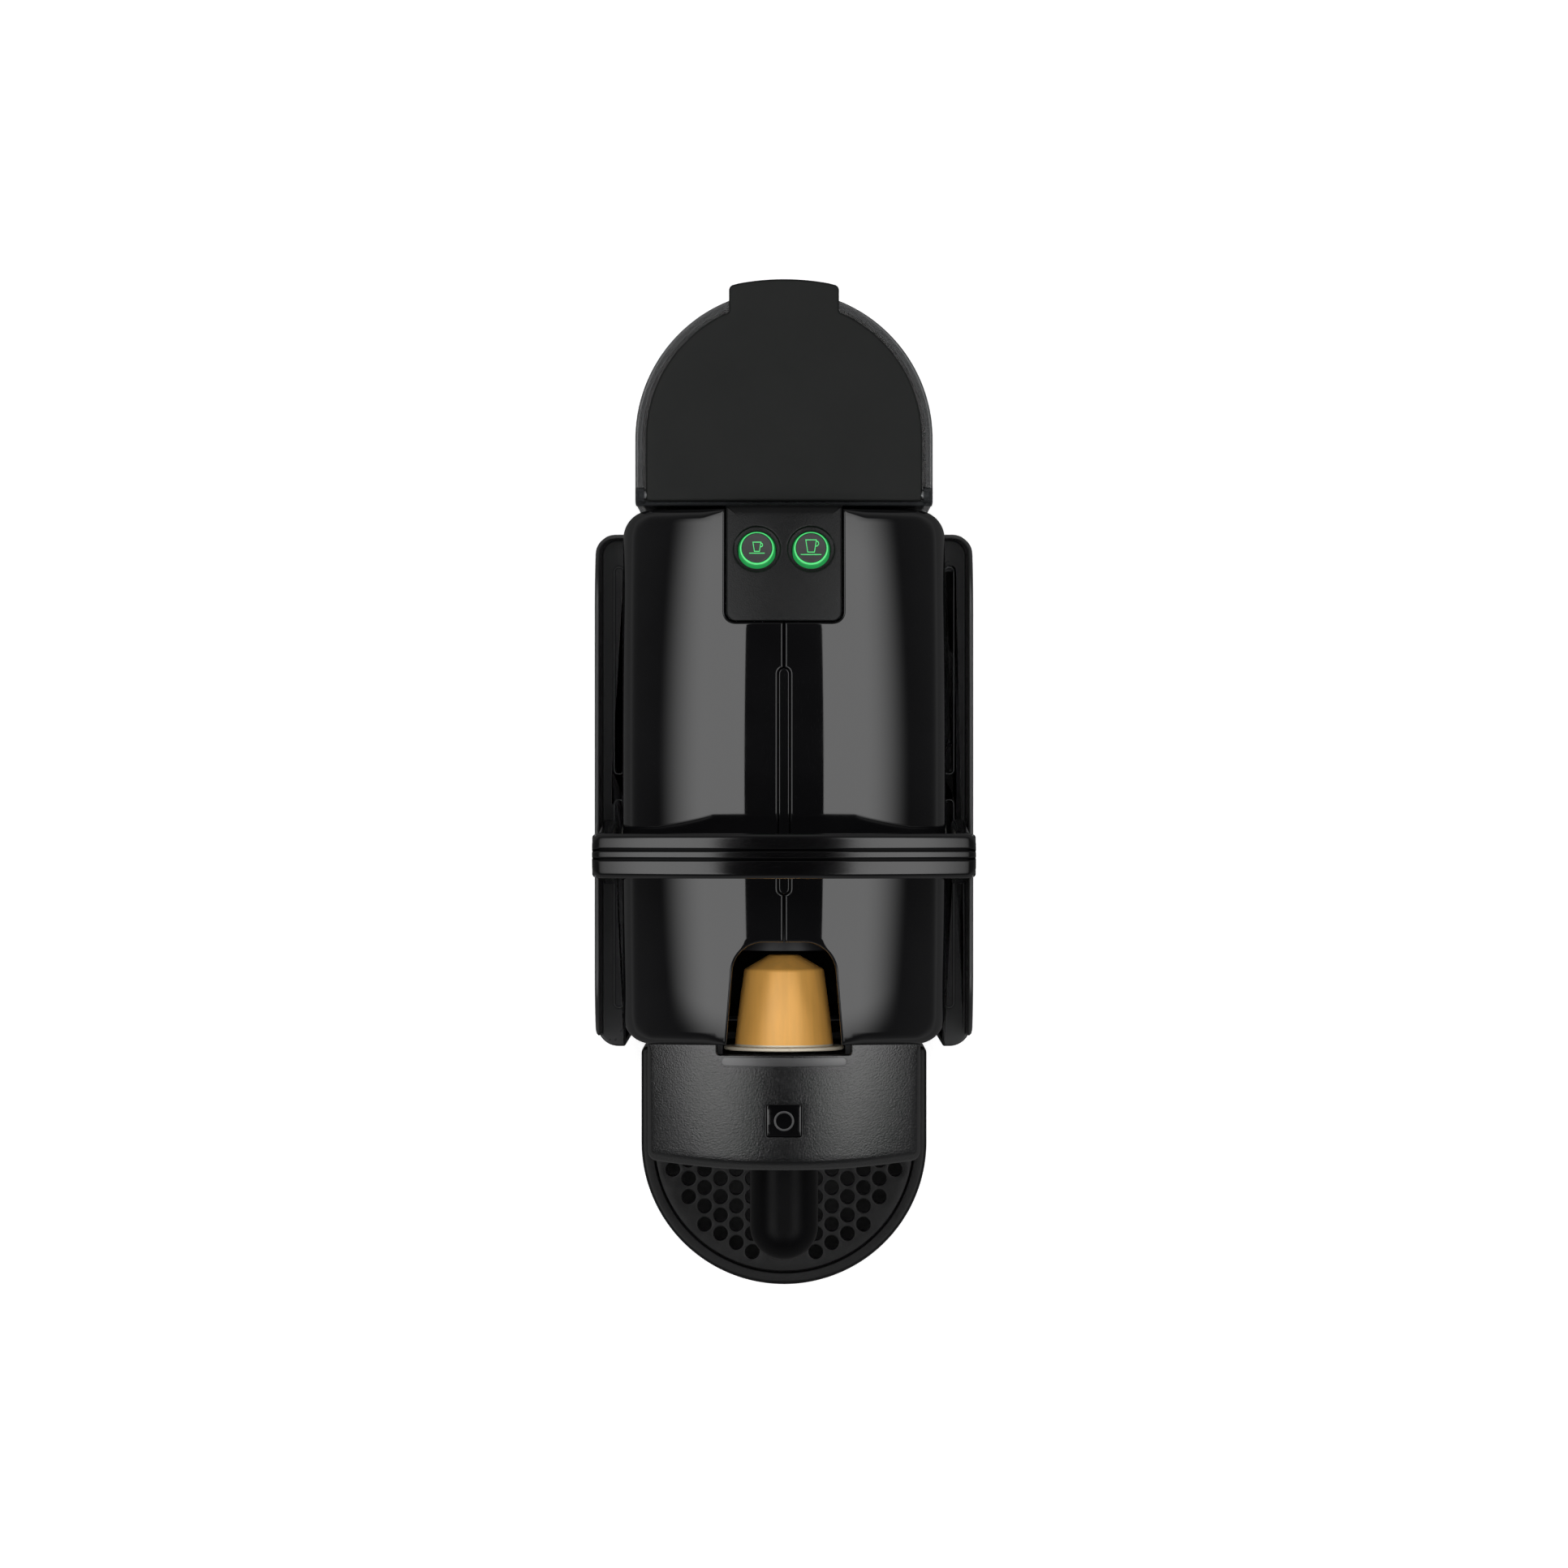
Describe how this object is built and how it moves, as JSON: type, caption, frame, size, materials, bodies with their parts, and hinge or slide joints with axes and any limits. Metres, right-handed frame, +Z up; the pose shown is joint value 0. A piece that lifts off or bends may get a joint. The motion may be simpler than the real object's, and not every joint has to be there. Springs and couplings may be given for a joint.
{
  "type": "pod coffee machine",
  "caption": "Compact pod coffee machine: arched gloss housing, raised loading lever, capsule slot, lift-off rear water tank, fold-up drip tray and pull-out container.",
  "frame": {"origin": "on the table under the middle of the machine's box", "axes": "+Z up, -Y to the front where the cup stands, +Y to the water tank, +X to the right seen from the front"},
  "size_m": [0.116, 0.3206, 0.303],
  "materials": {
    "housing_gloss": "high-gloss black moulding",
    "cheek_gloss": "gloss black moulding",
    "cover_texture": "fine spark-eroded grain",
    "badge_gloss": "gloss black",
    "spout_satin": "satin black",
    "panel_texture": "fine matte grain",
    "button_face": "matte black",
    "light_ring": "translucent, lit green",
    "lever_satin": "satin black",
    "base_plastic": "moulded black",
    "tray_texture": "fine matte grain",
    "grid_texture": "fine matte grain",
    "tank_smoke": "smoky translucent moulding",
    "lid_matte": "smooth matte black",
    "rubber_black": "soft black",
    "seal_silicone": "red silicone",
    "steel": "brushed",
    "die_cast": "as cast",
    "inner_plastic": "moulded dark grey",
    "light_plastic": "natural moulding",
    "pump_body": "zinc plated",
    "tube_metal": "drawn tube",
    "capsule_gold": "gold anodised, brushed lengthways"
  },
  "bodies": {
    "machine": {"base_plate": "base_plastic", "rubber_feet": "rubber_black", "base_screws": "steel", "left_shell": "housing_gloss", "right_shell": "housing_gloss", "seam_insert": "housing_gloss", "left_cheek": "cheek_gloss", "right_cheek": "cheek_gloss", "front_cover": "cover_texture", "badge": "badge_gloss", "spout": "spout_satin", "coffee_collector": "inner_plastic", "button_panel": "panel_texture", "control_board": "inner_plastic", "pivot_bushes": "light_plastic", "brew_frame": "inner_plastic", "brew_head": "steel", "capsule_guides": "inner_plastic", "tank_dock": "base_plastic", "dock_seal": "rubber_black", "pump": "pump_body", "pump_mounts": "rubber_black", "flow_meter": "light_plastic", "thermoblock": "die_cast", "heater_bracket": "steel", "suction_hose": "light_plastic", "pressure_hose": "light_plastic", "hot_tube": "tube_metal", "cable_gland": "base_plastic"},
    "lever_arm": {"lever": "lever_satin", "drive_cranks": "steel"},
    "brew_carriage": {"capsule_cage": "die_cast", "cage_seal": "seal_silicone", "cage_yoke": "die_cast"},
    "pod": {"capsule": "capsule_gold"},
    "espresso_key": {"espresso_button": "button_face", "espresso_ring": "light_ring"},
    "lungo_key": {"lungo_button": "button_face", "lungo_ring": "light_ring"},
    "carrier": {"drip_carrier": "base_plastic", "tray_hinge_pins": "steel"},
    "container": {"capsule_container": "base_plastic"},
    "tray": {"drip_tray": "tray_texture", "tray_feet": "rubber_black"},
    "grid": {"drip_grid": "grid_texture"},
    "tank": {"water_tank": "tank_smoke", "tank_valve": "light_plastic"},
    "lid": {"tank_lid": "lid_matte", "lid_hinge_pins": "steel"}
  },
  "joints": [
    {"name": "lever_turn", "type": "hinge", "parent": "machine", "child": "lever_arm", "pos_m": [0, -0.0148, 0.19], "axis": [1, 0, 0], "range_deg": [0, 94]},
    {"name": "cage_slide", "type": "slide", "parent": "machine", "child": "brew_carriage", "axis": [0, -1, 0], "range_m": [0, 0.0294]},
    {"name": "capsule_lift", "type": "slide", "parent": "machine", "child": "pod", "axis": [0, 0, 1], "range_m": [0, 0.055]},
    {"name": "espresso_press", "type": "slide", "parent": "machine", "child": "espresso_key", "axis": [0, -0.2303, -0.9731], "range_m": [0, 0.0012], "stiffness_N_per_m": 600},
    {"name": "lungo_press", "type": "slide", "parent": "machine", "child": "lungo_key", "axis": [0, -0.2303, -0.9731], "range_m": [0, 0.0012], "stiffness_N_per_m": 600},
    {"name": "carrier_slide", "type": "slide", "parent": "machine", "child": "carrier", "axis": [0, -1, 0], "range_m": [0, 0.1]},
    {"name": "container_lift", "type": "slide", "parent": "carrier", "child": "container", "axis": [0, 0, 1], "range_m": [0, 0.04]},
    {"name": "tray_fold", "type": "hinge", "parent": "carrier", "child": "tray", "pos_m": [0, -0.0775, 0.044], "axis": [1, 0, 0], "range_deg": [-88, 0]},
    {"name": "grid_lift", "type": "slide", "parent": "tray", "child": "grid", "axis": [0, 0, 1], "range_m": [0, 0.02]},
    {"name": "tank_lift", "type": "slide", "parent": "machine", "child": "tank", "axis": [0, 0, 1], "range_m": [0, 0.215]},
    {"name": "lid_open", "type": "hinge", "parent": "tank", "child": "lid", "pos_m": [0, 0.0943, 0.2045], "axis": [1, 0, 0], "range_deg": [0, 90]}
  ],
  "couplings": [
    {"joint": "cage_slide", "follows": "lever_turn", "m_per_rad": 0.017831}
  ]
}
